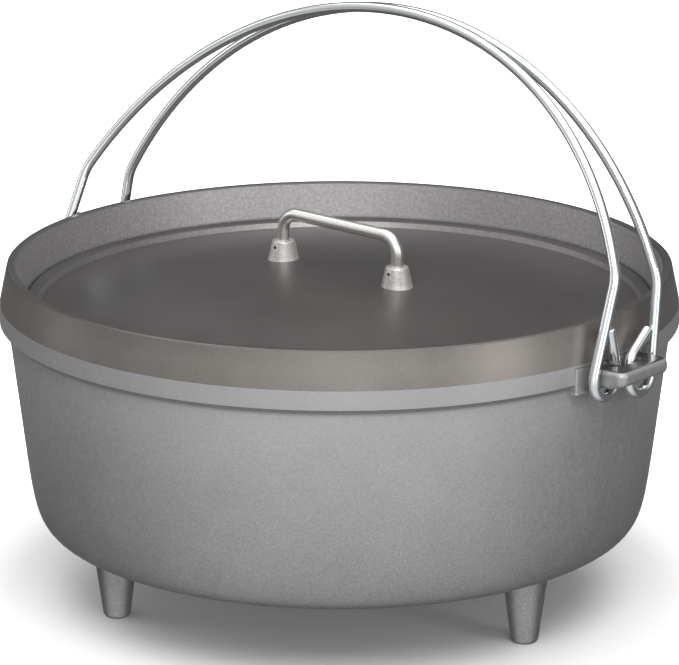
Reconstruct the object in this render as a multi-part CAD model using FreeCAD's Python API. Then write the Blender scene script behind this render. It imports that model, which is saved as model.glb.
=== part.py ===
import FreeCAD, Part
import math
import os

# Footed oven with a flat rimmed lid and two wire bails.
# Millimetres. +Z up, ear axis along X, front is -Y, origin on the floor under the centre.

os.makedirs("parts", exist_ok=True)
V = FreeCAD.Vector

# ---- driving dimensions -------------------------------------------------
SEAM_Z = 148.0            # flat seat between pot and lid
RIM_R = 160.0             # outer radius at the seat
WIRE_D = 4.9              # bail wire
ROD_D = 5.8               # lid handle rod

# pot
RIM_FOOT_R = 160.4        # outer radius at the foot of the rim band
RIM_BAND_H = 8.6          # height of the rim band
RIM_COVE = 3.0            # height of the cove under the band
BODY_TOP_R = 156.3        # body radius just under the cove
BODY_SLOPE = 0.1155       # radius lost per millimetre going down
WALL_END_Z = 81.0         # the straight wall stops here
BOTTOM_Z = 39.3           # underside of the pot
BOTTOM_FLAT_R = 128.7     # the underside is flat inside this radius
WALL_T = 4.8
FLOOR_T = 5.4
MOUTH_R = 154.0           # inside radius at the seat
MOUTH_DEPTH = 9.0         # the mouth tapers in to the wall over this depth

# legs
LEG_R = 112.1             # leg circle radius
LEG_FOOT_D = 12.4
LEG_TOP_D = 23.0
LEG_FLARE = 2.2           # flare where a leg meets the pot
LEG_FLARE_H = 4.5
LEG_NOSE = 2.6            # rounding at the foot
LEG_COUNT = 3

# ears
EAR_TIP_X = 177.6
EAR_HALF_W = 18.0
EAR_TOP_DROP = 2.2        # ear's top face below the seat
EAR_ROOT_T = 8.8          # thickness over the bar
EAR_TIP_T = 6.2           # thickness at the tip
EAR_CORNER = 4.0
EAR_EDGE = 2.4            # rounding along the bars
PAD_HALF_W = 27.0         # raised pad behind each ear
PAD_PROUD = 0.6
PAD_H = 12.0
HOOK_X = 164.3            # plane of the wire hooks
SLOT_HALF_L = 9.4
SLOT_EDGE = 1.8           # rounding round both mouths of the slot
SLOT_W = 6.95

# hooks and bails
PIVOT_Y = 13.4            # hook axis, fore and aft of the ear's middle
PIVOT_DROP = 7.15          # hook axis below the seat
HOOK_R = 8.65              # hook centreline radius
KINK_R = 22.0             # bend between shank and arch
TIP_ROUND = 0.7
TOE_IN = 3.2              # degrees, shanks and hooks lean in towards the lid

FRONT_LEAN = 24.1         # degrees back from upright
FRONT_ARCH_R = 178.7
FRONT_APEX = 146.5        # arch top above the hook axis, along the shank
FRONT_HOOK_DEEP = 0.1     # straight sides of the hook below its axis
FRONT_TAIL_LEAN = 36.0
FRONT_TAIL_L = 20.0

REAR_LEAN = 9.6
REAR_ARCH_R = 180.0
REAR_APEX = 139.8
REAR_HOOK_DEEP = 4.1
REAR_TAIL_LEAN = 46.0
REAR_TAIL_L = 14.0

# lid
LID_RIM_H = 17.0
LID_TOP_R = 156.3
LID_TOP_INNER_R = 152.1
LID_WALL_FOOT_R = 148.6   # foot of the inner wall
LID_GROOVE_W = 1.1
LID_GROOVE_DEEP = 0.9
LID_STEP_R = 143.4        # inner edge of the step ring
LID_FLOOR_R = 141.6
LID_FLOOR_DROP = 3.6      # floor edge below the seat
LID_DOME = 14.8           # rise of the floor to its middle
LID_T = 4.6
LIP_R = 153.6             # locating lip, widest
LIP_SLOPE = 60.0          # degrees from upright, so the lid can leave forwards

# lid handle
HANDLE_TURN = -2.9        # degrees, the lid stands a little round from the ears
BOSS_X = 36.5
BOSS_FOOT_R = 7.5
BOSS_TOP_R = 5.3
BOSS_BURIED_Z = 7.8       # blank starts inside the lid
BOSS_SHOWN_H = 9.6        # height over which the taper is measured
BOSS_EDGE = 0.9
BOSS_TOP_Z = 19.6         # above the seat
BOSS_HOLE_DEEP = 7.5
ROD_TOP_Z = 33.3          # rod centreline above the seat
ROD_BEND_R = 8.5
PIN_D = 2.0
PIN_DROP = 2.9            # pin axis below the boss's top


def export(shape, name):
    shape = shape.removeSplitter() if len(shape.Solids) == 1 else shape
    if len(shape.Solids) == 1:
        shape = shape.Solids[0]
    shape.exportStep("parts/" + name + ".step")
    print(name, shape.isValid(), round(shape.Volume / 1000.0, 2), "cm3")
    return shape


def xz(r, z):
    return V(r, 0.0, z)


def poly_edges(points):
    edges = []
    for a, b in zip(points, points[1:]):
        edges.append(Part.makeLine(a, b))
    return edges


def revolve(edges):
    wire = Part.Wire(Part.__sortEdges__(edges))
    return Part.Face(wire).revolve(V(0, 0, 0), V(0, 0, 1), 360)


def bezier(poles):
    curve = Part.BezierCurve()
    curve.setPoles(poles)
    return curve.toShape()


def dome_edge(r, z_mid, z_edge):
    # circular arc through the middle and the edge of a shallow dome
    half = r * 0.5
    rise = z_mid - z_edge
    sphere = (r * r + rise * rise) / (2.0 * rise)
    z_half = z_mid - sphere + math.sqrt(sphere * sphere - half * half)
    return Part.Arc(xz(0, z_mid), xz(half, z_half), xz(r, z_edge)).toShape()


def body_radius(z):
    return BODY_TOP_R - BODY_SLOPE * (SEAM_Z - RIM_BAND_H - RIM_COVE - z)


# ---- pot ----------------------------------------------------------------
def pot_shell():
    band_foot = SEAM_Z - RIM_BAND_H
    cove_foot = band_foot - RIM_COVE
    end_r = body_radius(WALL_END_Z)
    corner_r = BOTTOM_FLAT_R + 16.0
    inner_floor = BOTTOM_Z + FLOOR_T
    inner_end_r = end_r - WALL_T
    mouth_foot = SEAM_Z - MOUTH_DEPTH
    inner_top_r = body_radius(mouth_foot) - WALL_T
    edges = poly_edges([xz(MOUTH_R, SEAM_Z), xz(RIM_R, SEAM_Z), xz(RIM_FOOT_R, band_foot)])
    edges.append(Part.Arc(
        xz(RIM_FOOT_R, band_foot),
        xz(BODY_TOP_R + 0.9, cove_foot + 1.1),
        xz(BODY_TOP_R, cove_foot)).toShape())
    edges.append(Part.makeLine(xz(BODY_TOP_R, cove_foot), xz(end_r, WALL_END_Z)))
    edges.append(bezier([
        xz(end_r, WALL_END_Z),
        xz(end_r - 4.5, BOTTOM_Z + 3.0),
        xz(corner_r, BOTTOM_Z),
        xz(BOTTOM_FLAT_R, BOTTOM_Z)]))
    edges += poly_edges([xz(BOTTOM_FLAT_R, BOTTOM_Z), xz(0, BOTTOM_Z), xz(0, inner_floor)])
    edges.append(Part.makeLine(xz(0, inner_floor), xz(BOTTOM_FLAT_R - 5.0, inner_floor)))
    edges.append(bezier([
        xz(BOTTOM_FLAT_R - 5.0, inner_floor),
        xz(corner_r - 6.0, inner_floor),
        xz(inner_end_r - 3.9, inner_floor + 5.0),
        xz(inner_end_r, WALL_END_Z)]))
    edges += poly_edges([
        xz(inner_end_r, WALL_END_Z), xz(inner_top_r, mouth_foot), xz(MOUTH_R, SEAM_Z)])
    return revolve(edges)


def ear_solid():
    # plan outline, straight sides with rounded tip corners
    top = SEAM_Z - EAR_TOP_DROP
    root_x = 153.0
    c = EAR_CORNER
    k = c * (1.0 - math.sqrt(0.5))
    w = EAR_HALF_W
    tip = EAR_TIP_X
    low = top - 20.0
    edges = [
        Part.makeLine(V(root_x, -w, low), V(tip - c, -w, low)),
        Part.Arc(V(tip - c, -w, low), V(tip - k, -w + k, low), V(tip, -w + c, low)).toShape(),
        Part.makeLine(V(tip, -w + c, low), V(tip, w - c, low)),
        Part.Arc(V(tip, w - c, low), V(tip - k, w - k, low), V(tip - c, w, low)).toShape(),
        Part.makeLine(V(tip - c, w, low), V(root_x, w, low)),
        Part.makeLine(V(root_x, w, low), V(root_x, -w, low)),
    ]
    plan = Part.Face(Part.Wire(edges)).extrude(V(0, 0, 20.0))
    # side profile, thick over the bars and sloping up to a thinner tip
    bar_end = HOOK_X + WIRE_D
    side = Part.makePolygon([
        V(root_x, -40, top), V(tip + 5.0, -40, top), V(tip + 5.0, -40, top - EAR_TIP_T + 0.5),
        V(tip, -40, top - EAR_TIP_T), V(bar_end, -40, top - EAR_ROOT_T),
        V(root_x, -40, top - EAR_ROOT_T), V(root_x, -40, top)])
    ear = plan.common(Part.Face(side).extrude(V(0, 80, 0)))
    # one slot takes both hooks
    half = SLOT_HALF_L - SLOT_W * 0.5
    slot = Part.makeBox(SLOT_W, 2 * half, 40, V(HOOK_X - SLOT_W * 0.5, -half, low - 5))
    for y in (-half, half):
        slot = slot.fuse(Part.makeCylinder(SLOT_W * 0.5, 40, V(HOOK_X, y, low - 5)))
    ear = ear.cut(slot)
    mouths = []
    for edge in ear.Edges:
        box = edge.BoundBox
        in_slot = abs(box.Center.x - HOOK_X) + box.XLength * 0.5 < SLOT_W * 0.5 + 0.1
        in_slot = in_slot and abs(box.Center.y) + box.YLength * 0.5 < SLOT_HALF_L + 0.1
        if in_slot and box.ZLength < 0.01:
            mouths.append(edge)
    return ear.makeFillet(SLOT_EDGE, mouths)


def round_bars(ear):
    # soften the long edges at the two ends of the ear, where the hooks ride
    picked = []
    for edge in ear.Edges:
        box = edge.BoundBox
        flat_in_y = box.YLength < 0.01
        along_x = box.XLength > 3.0
        at_side = abs(abs(box.YMin) - EAR_HALF_W) < 0.01
        if flat_in_y and along_x and at_side:
            picked.append(edge)
    return ear.makeFillet(EAR_EDGE, picked)


def ear_pad():
    outer = Part.makeCylinder(RIM_FOOT_R + PAD_PROUD, PAD_H, V(0, 0, SEAM_Z - 1.2 - PAD_H))
    inner = Part.makeCylinder(RIM_R - 4.5, PAD_H, V(0, 0, SEAM_Z - 1.2 - PAD_H))
    ring = outer.cut(inner)
    block = Part.makeBox(40, 2 * PAD_HALF_W, 60, V(140, -PAD_HALF_W, SEAM_Z - 50))
    pad = ring.common(block)
    picked = []
    for edge in pad.Edges:
        box = edge.BoundBox
        upright = box.ZLength > PAD_H - 0.1
        on_outer_face = math.hypot(box.XMin, box.YMin) > RIM_FOOT_R + PAD_PROUD - 0.1
        if upright and on_outer_face:
            picked.append(edge)
    return pad.makeFillet(0.8, picked) if picked else pad


def turned(shape, degrees):
    copy = shape.copy()
    copy.rotate(V(0, 0, 0), V(0, 0, 1), degrees)
    return copy


def make_pot():
    pot = pot_shell()
    ear = round_bars(ear_solid())
    pad = ear_pad()
    cavity = Part.makeCylinder(MOUTH_R + 0.4, SEAM_Z - BOTTOM_Z - FLOOR_T, V(0, 0, BOTTOM_Z + FLOOR_T))
    for degrees in (0, 180):
        pot = pot.fuse(turned(ear, degrees).cut(cavity))
        pot = pot.fuse(turned(pad, degrees).cut(cavity))
    return pot


# ---- legs ---------------------------------------------------------------
def make_leg(index):
    foot_r = LEG_FOOT_D * 0.5
    top_r = LEG_TOP_D * 0.5
    flare_z = BOTTOM_Z - LEG_FLARE_H
    slope = (top_r - foot_r) / BOTTOM_Z
    flare_r = foot_r + slope * flare_z
    nose = LEG_NOSE
    side_r = foot_r + slope * nose
    edges = [
        Part.makeLine(xz(0, 0), xz(side_r - nose, 0)),
        Part.Arc(
            xz(side_r - nose, 0),
            xz(side_r - nose * 0.29, nose * 0.3),
            xz(side_r, nose)).toShape(),
        Part.makeLine(xz(side_r, nose), xz(flare_r, flare_z)),
        Part.Arc(
            xz(flare_r, flare_z),
            xz(flare_r + LEG_FLARE * 0.42, BOTTOM_Z - LEG_FLARE_H * 0.32),
            xz(top_r + LEG_FLARE, BOTTOM_Z)).toShape(),
        Part.makeLine(xz(top_r + LEG_FLARE, BOTTOM_Z), xz(0, BOTTOM_Z)),
        Part.makeLine(xz(0, BOTTOM_Z), xz(0, 0)),
    ]
    leg = revolve(edges)
    leg.translate(V(LEG_R, 0, 0))
    return turned(leg, index * 360.0 / LEG_COUNT)


# ---- lid ----------------------------------------------------------------
def make_lid():
    floor_edge = SEAM_Z - LID_FLOOR_DROP
    floor_mid = floor_edge + LID_DOME
    top = SEAM_Z + LID_RIM_H
    lip_tan = math.tan(math.radians(LIP_SLOPE))
    under_mid = floor_mid - LID_T
    # where the sloping lip meets the underside of the dome
    under_r = 139.6
    under_z = SEAM_Z - (LIP_R - under_r) / lip_tan
    groove_in = LID_WALL_FOOT_R - LID_GROOVE_W
    edge = 0.6
    edges = [dome_edge(under_r, under_mid, under_z)]
    edges += poly_edges([
        xz(under_r, under_z),
        xz(LIP_R, SEAM_Z),
        xz(RIM_R, SEAM_Z),
        xz(LID_TOP_R + 0.15, top - edge),
        xz(LID_TOP_R - edge, top),
        xz(LID_TOP_INNER_R + edge, top),
        xz(LID_TOP_INNER_R - 0.1, top - edge),
        xz(LID_WALL_FOOT_R, SEAM_Z + 0.5),
        xz(LID_WALL_FOOT_R - 0.15, SEAM_Z - LID_GROOVE_DEEP),
        xz(groove_in, SEAM_Z - LID_GROOVE_DEEP),
        xz(groove_in - 0.25, SEAM_Z - 0.1),
        xz(LID_STEP_R, SEAM_Z - 0.9),
        xz(LID_STEP_R - 0.5, SEAM_Z - 1.2),
        xz(LID_FLOOR_R, floor_edge)])
    edges.append(dome_edge(LID_FLOOR_R, floor_mid, floor_edge))
    edges.append(Part.makeLine(xz(0, floor_mid), xz(0, under_mid)))
    return revolve(edges)


def dome_ball():
    # ball whose top is the lid's domed floor
    sphere = (LID_FLOOR_R ** 2 + LID_DOME ** 2) / (2.0 * LID_DOME)
    return Part.makeSphere(sphere, V(0, 0, SEAM_Z - LID_FLOOR_DROP + LID_DOME - sphere))


def boss_blank():
    foot = SEAM_Z + BOSS_BURIED_Z
    top = SEAM_Z + BOSS_TOP_Z
    slope = (BOSS_FOOT_R - BOSS_TOP_R) / BOSS_SHOWN_H
    foot_r = BOSS_TOP_R + slope * (top - foot)
    blank = Part.makeCone(foot_r, BOSS_TOP_R, top - foot, V(0, 0, foot))
    rims = [e for e in blank.Edges if e.BoundBox.ZMin > top - 0.01]
    blank = blank.makeFillet(BOSS_EDGE, rims)
    hole = Part.makeCylinder(ROD_D * 0.5, BOSS_HOLE_DEEP + 1, V(0, 0, top - BOSS_HOLE_DEEP))
    return blank.cut(hole)


def pin_blank():
    z = SEAM_Z + BOSS_TOP_Z - PIN_DROP
    length = 2 * BOSS_TOP_R + 1.6
    pin = Part.makeCylinder(PIN_D * 0.5, length, V(0, -length * 0.5, z), V(0, 1, 0))
    return pin.makeChamfer(0.25, [e for e in pin.Edges if e.BoundBox.YLength < 0.01])


def make_handle():
    z_hole = SEAM_Z + BOSS_TOP_Z - BOSS_HOLE_DEEP
    z_top = SEAM_Z + ROD_TOP_Z
    b = ROD_BEND_R
    k = b * math.sqrt(0.5)
    x = BOSS_X
    path = Part.Wire([
        Part.makeLine(V(-x, 0, z_hole), V(-x, 0, z_top - b)),
        Part.Arc(V(-x, 0, z_top - b), V(-x + b - k, 0, z_top - b + k), V(-x + b, 0, z_top)).toShape(),
        Part.makeLine(V(-x + b, 0, z_top), V(x - b, 0, z_top)),
        Part.Arc(V(x - b, 0, z_top), V(x - b + k, 0, z_top - b + k), V(x, 0, z_top - b)).toShape(),
        Part.makeLine(V(x, 0, z_top - b), V(x, 0, z_hole))])
    disc = Part.Face(Part.Wire(Part.makeCircle(ROD_D * 0.5, V(-x, 0, z_hole), V(0, 0, 1))))
    rod = path.makePipe(disc)
    parts = {}
    pin = pin_blank()
    pin.translate(V(x, 0, 0))
    boss = boss_blank()
    boss.translate(V(x, 0, 0))
    boss = boss.cut(pin).cut(dome_ball())
    for side, half_turn in (("right", 0), ("left", 180)):
        rod = rod.cut(turned(pin, half_turn))
        parts["handle_boss_" + side] = turned(boss, HANDLE_TURN + half_turn)
        parts["handle_pin_" + side] = turned(pin, HANDLE_TURN + half_turn)
    parts["lid_handle_rod"] = turned(rod, HANDLE_TURN)
    return parts


# ---- bails --------------------------------------------------------------
def bail_path(side, lean, arch_r, apex, deep, tail_lean, tail_l):
    # side -1 is the front bail, +1 the rear one
    pivot = V(0, side * PIVOT_Y, SEAM_Z - PIVOT_DROP)
    a = math.radians(lean)
    up = V(0, math.sin(a), math.cos(a))
    out = V(0, side * math.cos(a), -side * math.sin(a))
    toe = math.radians(TOE_IN)
    g = math.radians(tail_lean)
    r = HOOK_R

    def arch_point(x, w):
        # q is one hook radius outwards from the hook axis, w is along the bail
        return pivot + V(x, 0, 0) + out * r + up * w

    # kink: an arc tangent to the leaning shank and to the arch
    arch_mid = apex - arch_r
    start_x = HOOK_X - KINK_R * math.cos(toe)
    start_w = -KINK_R * math.sin(toe) - arch_mid
    along = start_w * math.cos(toe) - start_x * math.sin(toe)
    inner = arch_r - KINK_R
    shank_l = -along + math.sqrt(along * along + inner * inner - start_x * start_x - start_w * start_w)
    kx = start_x - shank_l * math.sin(toe)
    kw = start_w + shank_l * math.cos(toe) + arch_mid
    turn = math.atan2(kw - arch_mid, kx)
    middle = 0.5 * (turn + toe)
    ex = arch_r * math.cos(turn)
    ew = arch_mid + arch_r * math.sin(turn)

    def half(sign):
        hook_up = up * math.cos(toe) - V(sign * math.sin(toe), 0, 0)

        def at(q, w):
            # in the hook's own leaning plane
            return pivot + V(sign * HOOK_X, 0, 0) + out * q + hook_up * w

        tail_b = at(-r * math.cos(g), r * math.sin(g))
        tail_a = at(-r * math.cos(g) + tail_l * math.sin(g), r * math.sin(g) + tail_l * math.cos(g))
        bend = at(-r * math.cos(g * 0.5), r * math.sin(g * 0.5))
        kink = arch_point(sign * (kx + KINK_R * math.cos(middle)), kw + KINK_R * math.sin(middle))
        return [
            Part.makeLine(tail_a, tail_b),
            Part.Arc(tail_b, bend, at(-r, 0)).toShape(),
            Part.makeLine(at(-r, 0), at(-r, -deep)),
            Part.Arc(at(-r, -deep), at(0, -r - deep), at(r, -deep)).toShape(),
            Part.makeLine(at(r, -deep), at(r, shank_l)),
            Part.Arc(at(r, shank_l), kink, arch_point(sign * ex, ew)).toShape(),
        ], tail_a, tail_b

    left, tail_a, tail_b = half(-1)
    right, _, _ = half(1)
    arch = Part.Arc(arch_point(-ex, ew), arch_point(0, apex), arch_point(ex, ew)).toShape()
    return Part.Wire(left + [arch] + right[::-1]), tail_a, (tail_b - tail_a).normalize()


def make_bail(*spec):
    path, start, along = bail_path(*spec)
    disc = Part.Face(Part.Wire(Part.makeCircle(WIRE_D * 0.5, start, along)))
    wire = path.makePipe(disc)
    tips = []
    for edge in wire.Edges:
        if isinstance(edge.Curve, Part.Circle) and abs(edge.Curve.Radius - WIRE_D * 0.5) < 1e-4:
            caps = [f for f in wire.ancestorsOfType(edge, Part.Face) if isinstance(f.Surface, Part.Plane)]
            if caps:
                tips.append(edge)
    return wire.makeFillet(TIP_ROUND, tips)


export(make_pot(), "pot_body")
for i in range(LEG_COUNT):
    export(make_leg(i), "leg_%d" % (i + 1))
export(make_lid(), "lid")
handle = make_handle()
for name in sorted(handle):
    export(handle[name], name)
front = (FRONT_LEAN, FRONT_ARCH_R, FRONT_APEX, FRONT_HOOK_DEEP, FRONT_TAIL_LEAN, FRONT_TAIL_L)
rear = (REAR_LEAN, REAR_ARCH_R, REAR_APEX, REAR_HOOK_DEEP, REAR_TAIL_LEAN, REAR_TAIL_L)
export(make_bail(-1, *front), "front_bail")
export(make_bail(1, *rear), "rear_bail")
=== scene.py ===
import math

import bpy
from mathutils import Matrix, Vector


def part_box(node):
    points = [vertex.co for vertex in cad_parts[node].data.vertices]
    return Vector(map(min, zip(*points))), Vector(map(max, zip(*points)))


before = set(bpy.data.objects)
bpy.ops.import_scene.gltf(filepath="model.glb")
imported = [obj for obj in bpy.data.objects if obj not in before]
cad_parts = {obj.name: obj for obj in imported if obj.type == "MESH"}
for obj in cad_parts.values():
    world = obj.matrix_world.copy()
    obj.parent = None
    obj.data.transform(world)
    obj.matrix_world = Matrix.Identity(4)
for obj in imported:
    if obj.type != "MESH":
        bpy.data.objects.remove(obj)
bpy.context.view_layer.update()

# ---------------------------------------------------------------- driving values, in metres and degrees
CAMERA_AZIMUTH = 40.0     # from the front, towards the right-hand ear
CAMERA_ELEVATION = 16.0
CAMERA_DISTANCE = 1.6607
CAMERA_AIM_Z = 0.1285
SENSOR_WIDTH_MM = 36.0
LENS_MM = 185.6

FLOOR_HALF = 6.0
FLOOR_WHITE = 0.92
FLOOR_ROUGH = 0.45
FLOOR_PAINTED_SHADOW_R = 0.16        # painted shadow: the floor's glow is zero inside this radius, leaving a dim patch under the pot and ramps up to full white outside this one
FLOOR_BRIGHT_R = 0.34     # and is full white outside this one
CAMERA_FAR = 50.0

# name, turn from the camera, elevation, distance, size, watts
LAMPS = (
    ("key_above_front", 5, 42, 1.5, (1.0, 0.6), 14),
    ("strip_right", 52, 14, 1.6, (0.25, 0.9), 3),
    ("strip_left", -100, 18, 1.8, (0.25, 1.2), 2),
    ("top_soft", 0, 89, 1.5, (2.4, 2.4), 31),
)

WORLD_DIM = 0.16          # studio brightness away from the panels
# azimuth, elevation, cosines where the panel fades out and is full, brightness
WORLD_PANELS = (
    (34.0, -28.0, 0.05, 0.90, 0.72),
    (34.0, 12.0, 0.80, 0.97, 0.52),
    (100.0, 10.0, 0.82, 0.96, 0.70),
    (-55.0, 30.0, 0.70, 0.96, 0.52),
    (40.0, 85.0, 0.20, 0.98, 0.34),
)

LID_METALLIC = 0.72
LEG_TOP_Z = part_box("leg_1")[1][2]
POT_BAND_Z = 0.1350                # just under the cove of the pot's top band
LID_OUT_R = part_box("lid")[1][1]
LID_MID_R = LID_OUT_R - 0.0058     # between the rim's outer band and its inner wall
LID_FLOOR_R = LID_OUT_R - 0.0184   # edge of the dark tray
LID_GROOVE_R = LID_OUT_R - 0.0116  # groove at the foot of the inner wall
LID_GROOVE_W = 0.0012
LID_STEP_W = 0.0012                # width over which the tray's tone changes to the ring's

POT_COOL = (0.330, 0.332, 0.340)   # the pot wall towards its top
# painted shade for faces that look up, such as the ear's top: a painted dark reflection
EAR_TOP_PAINTED_SHADE = (0.075, 0.073, 0.073)
# painted shade for the groove at the foot of the lid's inner wall
GROOVE_PAINTED_SHADE = (0.012, 0.011, 0.011)
LID_WORN = (0.420, 0.405, 0.385)
WIRE_WORN = (0.90, 0.90, 0.88)


# ---------------------------------------------------------------- small helpers for shader nodes
class Shader:
    """A material under construction: nodes are added by type and joined by name."""

    def __init__(self, name):
        self.material = bpy.data.materials.new(name)
        self.material.use_nodes = True
        self.tree = self.material.node_tree
        self.tree.nodes.clear()
        self.out = self.add("ShaderNodeOutputMaterial")
        self.bsdf = self.add("ShaderNodeBsdfPrincipled")
        self.join(self.bsdf.outputs["BSDF"], self.out.inputs["Surface"])
        self.place = self.add("ShaderNodeTexCoord").outputs["Object"]

    def add(self, kind, **values):
        node = self.tree.nodes.new(kind)
        for key, value in values.items():
            setattr(node, key, value)
        return node

    def join(self, source, target):
        self.tree.links.new(source, target)

    def noise(self, scale, detail=3.0, roughness=0.55, place=None):
        node = self.add("ShaderNodeTexNoise")
        node.inputs["Scale"].default_value = scale
        node.inputs["Detail"].default_value = detail
        node.inputs["Roughness"].default_value = roughness
        self.join(place or self.place, node.inputs["Vector"])
        return node.outputs["Fac"]

    def stretched(self, x, y, z):
        node = self.add("ShaderNodeMapping")
        node.inputs["Scale"].default_value = (x, y, z)
        self.join(self.place, node.inputs["Vector"])
        return node.outputs["Vector"]

    def remap(self, source, low, high, to_low, to_high):
        node = self.add("ShaderNodeMapRange")
        node.inputs["From Min"].default_value = low
        node.inputs["From Max"].default_value = high
        node.inputs["To Min"].default_value = to_low
        node.inputs["To Max"].default_value = to_high
        self.join(source, node.inputs["Value"])
        return node.outputs["Result"]

    def maths(self, operation, first, second):
        node = self.add("ShaderNodeMath", operation=operation)
        for socket, value in zip(node.inputs, (first, second)):
            if isinstance(value, (int, float)):
                socket.default_value = value
            else:
                self.join(value, socket)
        return node.outputs["Value"]

    def blend(self, amount, first, second, mode="MIX"):
        node = self.add("ShaderNodeMix", data_type="RGBA", blend_type=mode)
        for socket, value in ((node.inputs[0], amount), (node.inputs[6], first), (node.inputs[7], second)):
            if isinstance(value, (int, float)):
                socket.default_value = value
            elif isinstance(value, tuple):
                socket.default_value = value + (1.0,)
            else:
                self.join(value, socket)
        return node.outputs[2]

    def bump(self, height, strength, distance, under=None):
        node = self.add("ShaderNodeBump")
        node.inputs["Strength"].default_value = strength
        node.inputs["Distance"].default_value = distance
        self.join(height, node.inputs["Height"])
        if under is not None:
            self.join(under, node.inputs["Normal"])
        return node.outputs["Normal"]

    def split(self, vector):
        node = self.add("ShaderNodeSeparateXYZ")
        self.join(vector, node.inputs["Vector"])
        return node.outputs["X"], node.outputs["Y"], node.outputs["Z"]

    def radius(self):
        """Distance from the pot's upright axis."""
        x, y, _ = self.split(self.place)
        squares = self.maths("ADD", self.maths("MULTIPLY", x, x), self.maths("MULTIPLY", y, y))
        return self.maths("SQRT", squares, 0.0)

    def rise(self):
        """How far the surface faces up: 1 up, 0 upright, -1 down."""
        return self.split(self.add("ShaderNodeNewGeometry").outputs["Normal"])[2]

    def between(self, value, low, high, soft):
        """1 where value lies from low to high, 0 outside, with soft edges."""
        above = self.remap(value, low - soft, low + soft, 0.0, 1.0)
        below = self.remap(value, high - soft, high + soft, 1.0, 0.0)
        return self.maths("MULTIPLY", above, below)

    def shaded(self, colour, factor):
        """The colour multiplied by a single value."""
        grey = self.add("ShaderNodeCombineColor")
        for socket in grey.inputs:
            self.join(factor, socket)
        return self.blend(1.0, colour, grey.outputs["Color"], mode="MULTIPLY")

    def speckled(self, colour, noise, low, high):
        """The colour made lighter and darker by a fine noise."""
        return self.shaded(colour, self.remap(noise, 0.32, 0.68, low, high))

    def edges(self, low, high):
        """0 on open surface, 1 along convex edges."""
        point = self.add("ShaderNodeNewGeometry").outputs["Pointiness"]
        return self.remap(point, low, high, 0.0, 1.0)

    def finish(self, colour, roughness, normal):
        self.join(colour, self.bsdf.inputs["Base Color"])
        self.join(roughness, self.bsdf.inputs["Roughness"])
        self.join(normal, self.bsdf.inputs["Normal"])
        return self.material


# ---------------------------------------------------------------- materials
def blasted_casting(name, light, dark, metallic, roughness, grain=1.0, paint_light_by_height_and_facing=False):
    """Bead-blasted casting: fine even grain, a soft mottle and brighter rubbed edges.

    When asked to, it also paints shade onto faces that look up (a painted dark reflection), paints light
    onto the wall so that it brightens and cools towards its top, and paints less of that light onto the
    top band.
    """
    s = Shader(name)
    s.bsdf.inputs["Metallic"].default_value = metallic
    mottle = s.noise(28.0, detail=4.0)
    fine = s.noise(1150.0, detail=2.0, roughness=0.7)
    coarse = s.noise(420.0, detail=2.0)
    tone = s.remap(mottle, 0.3, 0.7, 0.0, 1.0)
    colour = s.blend(tone, dark, light)
    colour = s.speckled(colour, fine, 0.80, 1.16)
    worn = s.maths("MULTIPLY", s.edges(0.52, 0.58), 0.30)
    colour = s.blend(worn, colour, tuple(min(1.0, c * 1.6) for c in light))
    rough = s.remap(coarse, 0.3, 0.7, roughness[0], roughness[1])
    if paint_light_by_height_and_facing:
        # painted light: the wall is made lighter and cooler towards its top as if lit from above, and the
        # band above POT_BAND_Z gets less of it
        height = s.split(s.place)[2]
        painted_top_light = s.remap(height, LEG_TOP_Z, POT_BAND_Z, 0.80, 1.24)
        band_with_less_painted_light = s.remap(height, POT_BAND_Z, POT_BAND_Z + 0.001, 1.0, 0.76)
        colour = s.blend(s.remap(height, LEG_TOP_Z, POT_BAND_Z, 0.0, 0.5), colour, POT_COOL)
        colour = s.shaded(colour, s.maths("MULTIPLY", painted_top_light, band_with_less_painted_light))
        # painted shade: faces that look up are darkened, standing in for their dark reflection
        up_facing_painted_shade = s.remap(s.rise(), 0.80, 0.95, 0.0, 1.0)
        colour = s.blend(up_facing_painted_shade, colour, EAR_TOP_PAINTED_SHADE)
        rough = s.maths("SUBTRACT", rough, s.maths("MULTIPLY", up_facing_painted_shade, 0.26))
    normal = s.bump(coarse, 0.30 * grain, 0.00022)
    normal = s.bump(fine, 0.45 * grain, 0.00010, under=normal)
    return s.finish(colour, rough, normal)


def wire_metal(name, tint, roughness):
    """Plated wire: bright, with faint drawing lines and slight dulling."""
    s = Shader(name)
    s.bsdf.inputs["Metallic"].default_value = 1.0
    cloud = s.noise(60.0, detail=3.0)
    lines = s.noise(900.0, detail=2.0, place=s.stretched(0.15, 1.0, 1.0))
    dull = s.remap(cloud, 0.3, 0.7, 0.0, 0.35)
    colour = s.blend(dull, tint, tuple(c * 0.82 for c in tint))
    rough = s.remap(s.maths("ADD", cloud, lines), 0.7, 1.3, roughness[0], roughness[1])
    worn = s.maths("MULTIPLY", s.edges(0.60, 0.70), 0.20)
    colour = s.blend(worn, colour, WIRE_WORN)
    normal = s.bump(lines, 0.04, 0.00003)
    return s.finish(colour, rough, normal)


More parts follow.
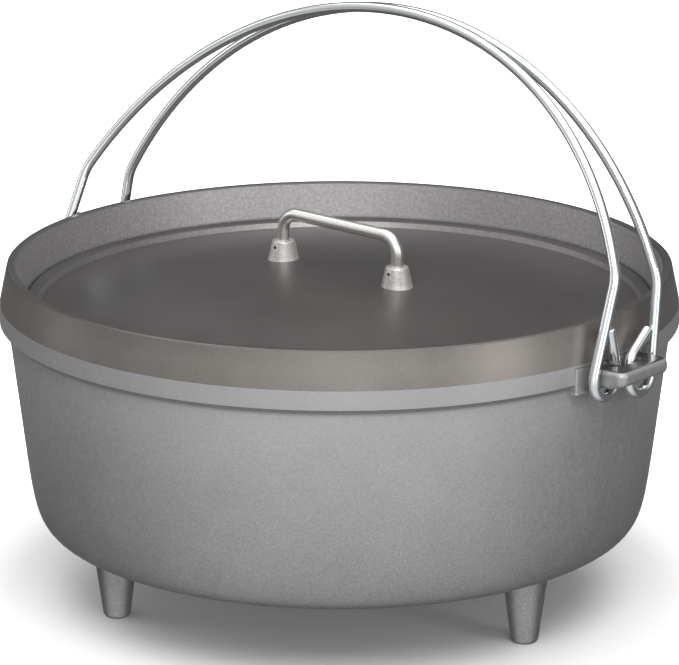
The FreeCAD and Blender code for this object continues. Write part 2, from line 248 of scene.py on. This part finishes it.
def lid_metal():
    """One casting: turned outside band, rough inner wall, a ring with a groove, dark smooth tray."""
    s = Shader("lid_turned_and_cast_painted_groove_shade")
    s.bsdf.inputs["Metallic"].default_value = LID_METALLIC
    radius = s.radius()
    upright = s.remap(s.maths("ABSOLUTE", s.rise(), 0.0), 0.35, 0.60, 1.0, 0.0)
    outside = s.remap(radius, LID_MID_R - 0.0004, LID_MID_R + 0.0004, 0.0, 1.0)
    wall = s.maths("MULTIPLY", upright, s.maths("SUBTRACT", 1.0, outside))
    band = s.maths("MULTIPLY", upright, outside)
    step = s.remap(radius, LID_FLOOR_R, LID_FLOOR_R + LID_STEP_W, 0.0, 1.0)

    cloud = s.noise(14.0, detail=4.0)
    fine = s.noise(1100.0, detail=2.0, roughness=0.7)
    pits = s.noise(620.0, detail=3.0, roughness=0.65)
    tool = s.noise(700.0, detail=2.0, place=s.stretched(0.02, 0.02, 1.0))

    tray = s.blend(s.remap(cloud, 0.3, 0.7, 0.0, 1.0), (0.088, 0.084, 0.081), (0.112, 0.107, 0.104))
    ring = s.blend(s.remap(cloud, 0.3, 0.7, 0.0, 1.0), (0.075, 0.072, 0.069), (0.098, 0.094, 0.090))
    inner = s.blend(s.remap(pits, 0.35, 0.65, 0.0, 1.0), (0.262, 0.254, 0.252), (0.340, 0.331, 0.331))
    outer = s.blend(s.remap(cloud, 0.3, 0.7, 0.0, 1.0), (0.150, 0.137, 0.126), (0.184, 0.171, 0.158))
    colour = s.blend(step, tray, ring)
    colour = s.blend(wall, colour, inner)
    colour = s.blend(band, colour, outer)
    colour = s.speckled(colour, fine, 0.90, 1.08)
    # painted shade: the groove at the foot of the inner wall is painted near-black, standing in for its
    # shadow
    groove_painted_shade = s.between(radius, LID_GROOVE_R - LID_GROOVE_W, LID_GROOVE_R, 0.0001)
    colour = s.blend(groove_painted_shade, colour, GROOVE_PAINTED_SHADE)
    worn = s.maths("MULTIPLY", s.edges(0.53, 0.60), s.maths("MULTIPLY", step, 0.25))
    colour = s.blend(worn, colour, LID_WORN)

    rough = s.remap(s.maths("ADD", fine, cloud), 0.7, 1.3, 0.33, 0.43)
    rough = s.maths("ADD", rough, s.maths("MULTIPLY", wall, 0.10))
    normal = s.bump(s.maths("MULTIPLY", pits, wall), 0.45, 0.00016)
    normal = s.bump(s.maths("MULTIPLY", tool, band), 0.12, 0.00005, under=normal)
    normal = s.bump(fine, 0.12, 0.00006, under=normal)
    return s.finish(colour, rough, normal)


MATERIALS = {
    "pot": blasted_casting("pot_blasted_painted_light", (0.330, 0.324, 0.322), (0.290, 0.283, 0.279),
                           metallic=0.70, roughness=(0.42, 0.54), paint_light_by_height_and_facing=True),
    "leg": blasted_casting("leg_casting", (0.310, 0.310, 0.315), (0.250, 0.249, 0.252),
                           metallic=0.80, roughness=(0.30, 0.40), grain=0.8),
    "lid": lid_metal(),
    "boss": blasted_casting("boss_rough", (0.500, 0.487, 0.474), (0.360, 0.349, 0.338),
                            metallic=0.70, roughness=(0.36, 0.52), grain=2.0),
    "rod": wire_metal("rod_satin", (0.740, 0.730, 0.705), (0.26, 0.36)),
    "wire": wire_metal("bail_bright", (0.720, 0.745, 0.760), (0.09, 0.16)),
    "pin": wire_metal("pin_dark", (0.100, 0.098, 0.095), (0.40, 0.55)),
}

FINISH = {
    "pot_body": "pot",
    "leg_1": "leg",
    "leg_2": "leg",
    "leg_3": "leg",
    "lid": "lid",
    "handle_boss_left": "boss",
    "handle_boss_right": "boss",
    "handle_pin_left": "pin",
    "handle_pin_right": "pin",
    "lid_handle_rod": "rod",
    "front_bail": "wire",
    "rear_bail": "wire",
}


def dress_cad_nodes():
    for node, finish in FINISH.items():
        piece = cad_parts[node]
        piece.data.materials.clear()
        piece.data.materials.append(MATERIALS[finish])


# ---------------------------------------------------------------- floor, light and camera
def make_floor():
    mesh = bpy.data.meshes.new("studio_floor")
    corners = [(-FLOOR_HALF, -FLOOR_HALF, 0), (FLOOR_HALF, -FLOOR_HALF, 0),
               (FLOOR_HALF, FLOOR_HALF, 0), (-FLOOR_HALF, FLOOR_HALF, 0)]
    mesh.from_pydata(corners, [], [(0, 1, 2, 3)])
    floor = bpy.data.objects.new("studio_floor", mesh)
    bpy.context.scene.collection.objects.link(floor)
    s = Shader("studio_floor_glow_painted_shadow")
    s.bsdf.inputs["Base Color"].default_value = (FLOOR_WHITE, FLOOR_WHITE, FLOOR_WHITE, 1.0)
    s.bsdf.inputs["Roughness"].default_value = FLOOR_ROUGH
    s.bsdf.inputs["Emission Color"].default_value = (1.0, 1.0, 1.0, 1.0)
    # painted shadow: the floor glows white except in a disc round the pot, where the glow fades out
    glow_around_painted_shadow = s.remap(s.radius(), FLOOR_PAINTED_SHADOW_R, FLOOR_BRIGHT_R, 0.0, 1.0)
    s.join(glow_around_painted_shadow, s.bsdf.inputs["Emission Strength"])
    mesh.materials.append(s.material)
    floor.visible_diffuse = False
    floor.visible_glossy = False


def area_light(name, azimuth, elevation, distance, size, watts):
    """A soft panel aimed at the middle of the pot."""
    lamp = bpy.data.lights.new(name, "AREA")
    lamp.shape = "RECTANGLE"
    lamp.size, lamp.size_y = size
    lamp.energy = watts
    holder = bpy.data.objects.new(name, lamp)
    bpy.context.scene.collection.objects.link(holder)
    aim_from(holder, azimuth, elevation, distance)


def outwards(azimuth, elevation):
    """Unit vector from the pot. Azimuth runs from the front to the right."""
    turn = math.radians(azimuth)
    rise = math.radians(elevation)
    return Vector((math.sin(turn) * math.cos(rise), -math.cos(turn) * math.cos(rise), math.sin(rise)))


def aim_from(holder, azimuth, elevation, distance):
    """Places an object round the pot, looking at it."""
    away = outwards(azimuth, elevation)
    holder.location = Vector((0.0, 0.0, CAMERA_AIM_Z)) + away * distance
    holder.rotation_euler = (-away).to_track_quat("-Z", "Y").to_euler()


def make_lights():
    for name, turn, elevation, distance, size, watts in LAMPS:
        area_light(name, CAMERA_AZIMUTH + turn, elevation, distance, size, watts)
    world = bpy.data.worlds.new("studio")
    world.use_nodes = True
    tree = world.node_tree
    look = tree.nodes.new("ShaderNodeTexCoord").outputs["Generated"]
    total = None
    for azimuth, elevation, fade, full, strength in WORLD_PANELS:
        dot = tree.nodes.new("ShaderNodeVectorMath")
        dot.operation = "DOT_PRODUCT"
        dot.inputs[1].default_value = outwards(azimuth, elevation)
        tree.links.new(look, dot.inputs[0])
        panel = tree.nodes.new("ShaderNodeMapRange")
        panel.interpolation_type = "SMOOTHSTEP"
        panel.inputs["From Min"].default_value = fade
        panel.inputs["From Max"].default_value = full
        panel.inputs["To Max"].default_value = strength
        tree.links.new(dot.outputs["Value"], panel.inputs["Value"])
        add = tree.nodes.new("ShaderNodeMath")
        add.inputs[0].default_value = WORLD_DIM
        if total is not None:
            tree.links.new(total, add.inputs[0])
        tree.links.new(panel.outputs["Result"], add.inputs[1])
        total = add.outputs["Value"]
    tree.links.new(total, tree.nodes["Background"].inputs["Strength"])
    tree.nodes["Background"].inputs["Color"].default_value = (1.0, 1.0, 1.0, 1.0)
    bpy.context.scene.world = world


def make_camera():
    data = bpy.data.cameras.new("camera")
    data.sensor_width = SENSOR_WIDTH_MM
    data.lens = LENS_MM
    data.clip_end = CAMERA_FAR
    camera = bpy.data.objects.new("camera", data)
    bpy.context.scene.collection.objects.link(camera)
    aim_from(camera, CAMERA_AZIMUTH, CAMERA_ELEVATION, CAMERA_DISTANCE)
    bpy.context.scene.camera = camera


dress_cad_nodes()
make_floor()
make_lights()
make_camera()
bpy.context.scene.view_settings.view_transform = "Standard"
